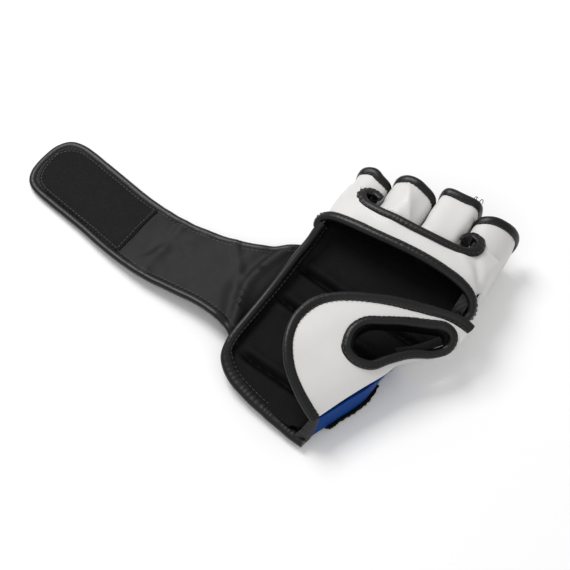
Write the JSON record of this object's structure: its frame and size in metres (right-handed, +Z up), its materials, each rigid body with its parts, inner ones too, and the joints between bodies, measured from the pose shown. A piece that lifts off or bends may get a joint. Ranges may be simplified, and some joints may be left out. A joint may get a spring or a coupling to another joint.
{
  "type": "mma glove",
  "caption": "Open-palm grappling glove for a right hand, with padded knuckles, short finger sleeves, a bound thumb flap and a long hook-and-loop wrist strap laid open.",
  "frame": {"origin": "middle of the flat patch under the knuckle pad that the glove rests on, palm up", "axes": "+Z up out of the palm, +Y from wrist to fingers, +X towards the thumb; the open strap runs out along -X"},
  "size_m": [0.3377, 0.204, 0.0541],
  "materials": {
    "white_leather": "smooth synthetic leather",
    "blue_leather": "smooth synthetic leather",
    "black_leather": "smooth synthetic leather",
    "black_lining": "satin tricot",
    "black_binding": "thin folded synthetic leather",
    "foam": "closed-cell foam",
    "hook_plastic": "matte hook tape",
    "loop_fabric": "brushed loop tape",
    "elastic": "woven elastic"
  },
  "bodies": {
    "glove": {"back_cover": "white_leather", "cuff_cover": "blue_leather", "back_lining": "black_lining", "knuckle_pad": "foam", "hand_back_pad": "foam", "wrist_pad": "foam", "cuff_pad": "foam", "edge_binding": "black_binding", "loop_patch": "loop_fabric", "palm_band": "white_leather", "palm_band_lining": "black_lining", "palm_band_binding": "black_binding", "slot_binding": "black_binding", "elastic_tab": "elastic", "strap_root": "black_leather"},
    "thumb_flap": {"thumb_panel": "white_leather", "thumb_lining": "black_lining", "thumb_edge_binding": "black_binding", "thumb_hole_binding": "black_binding"},
    "finger_little": {"little_sleeve": "white_leather", "little_pad": "foam", "little_lining": "black_lining", "little_tip_binding": "black_binding"},
    "finger_ring": {"ring_sleeve": "white_leather", "ring_pad": "foam", "ring_lining": "black_lining", "ring_tip_binding": "black_binding"},
    "finger_middle": {"middle_sleeve": "white_leather", "middle_pad": "foam", "middle_lining": "black_lining", "middle_tip_binding": "black_binding"},
    "finger_index": {"index_sleeve": "white_leather", "index_pad": "foam", "index_lining": "black_lining", "index_tip_binding": "black_binding"},
    "strap_1": {"strap_1_binding": "black_binding", "strap_1_lining": "black_lining", "strap_1_foam": "foam", "strap_1_cover": "black_leather"},
    "strap_2": {"strap_2_binding": "black_binding", "strap_2_lining": "black_lining", "strap_2_foam": "foam", "strap_2_cover": "black_leather"},
    "strap_3": {"strap_3_binding": "black_binding", "strap_3_lining": "black_lining", "strap_3_foam": "foam", "strap_3_cover": "black_leather", "hook_panel_3": "hook_plastic"},
    "strap_4": {"strap_4_binding": "black_binding", "strap_4_lining": "black_lining", "strap_4_foam": "foam", "strap_4_cover": "black_leather", "hook_panel_4": "hook_plastic"},
    "strap_5": {"strap_5_binding": "black_binding", "strap_5_lining": "black_lining", "strap_5_foam": "foam", "strap_5_cover": "black_leather", "hook_panel_5": "hook_plastic"}
  },
  "joints": [
    {"name": "thumb_flap_hinge", "type": "hinge", "parent": "glove", "child": "thumb_flap", "pos_m": [0.023, -0.127, 0.0264], "axis": [-0.4808, -0.8768, 0], "range_deg": [-40, 20], "stiffness_Nm_per_rad": 0.3},
    {"name": "little_flex", "type": "hinge", "parent": "glove", "child": "finger_little", "pos_m": [0, 0.0269, 0.038], "axis": [1, 0, 0], "range_deg": [0, 50], "stiffness_Nm_per_rad": 0.3},
    {"name": "ring_flex", "type": "hinge", "parent": "glove", "child": "finger_ring", "pos_m": [0, 0.0269, 0.038], "axis": [1, 0, 0], "range_deg": [0, 50], "stiffness_Nm_per_rad": 0.3},
    {"name": "middle_flex", "type": "hinge", "parent": "glove", "child": "finger_middle", "pos_m": [0, 0.0269, 0.038], "axis": [1, 0, 0], "range_deg": [0, 50], "stiffness_Nm_per_rad": 0.3},
    {"name": "index_flex", "type": "hinge", "parent": "glove", "child": "finger_index", "pos_m": [0, 0.0269, 0.038], "axis": [1, 0, 0], "range_deg": [0, 50], "stiffness_Nm_per_rad": 0.3},
    {"name": "strap_fold", "type": "hinge", "parent": "glove", "child": "strap_1", "pos_m": [-0.0678, -0.064, 0.0175], "axis": [0.2419, 0.9703, 0], "range_deg": [0, 134.7]},
    {"name": "strap_wrap", "type": "hinge", "parent": "strap_1", "child": "strap_2", "pos_m": [-0.11632, -0.0519, 0.0125], "axis": [0.2419, 0.9703, 0], "range_deg": [0, 59.3]},
    {"name": "strap_wrap_2", "type": "hinge", "parent": "strap_2", "child": "strap_3", "pos_m": [-0.15804, -0.0415, 0.0087], "axis": [0.2419, 0.9703, 0], "range_deg": [0, 13.1]},
    {"name": "strap_wrap_3", "type": "hinge", "parent": "strap_3", "child": "strap_4", "pos_m": [-0.20413, -0.03001, 0.0065], "axis": [0.2419, 0.9703, 0], "range_deg": [0, 65.3]},
    {"name": "strap_wrap_4", "type": "hinge", "parent": "strap_4", "child": "strap_5", "pos_m": [-0.23421, -0.02251, 0.0057], "axis": [0.2419, 0.9703, 0], "range_deg": [0, 89.4]}
  ],
  "couplings": [
    {"joint": "strap_wrap_2", "follows": "strap_wrap", "ratio": 0.21248},
    {"joint": "strap_wrap_3", "follows": "strap_wrap", "ratio": 1.0928},
    {"joint": "strap_wrap_4", "follows": "strap_wrap", "ratio": 1.4992}
  ]
}
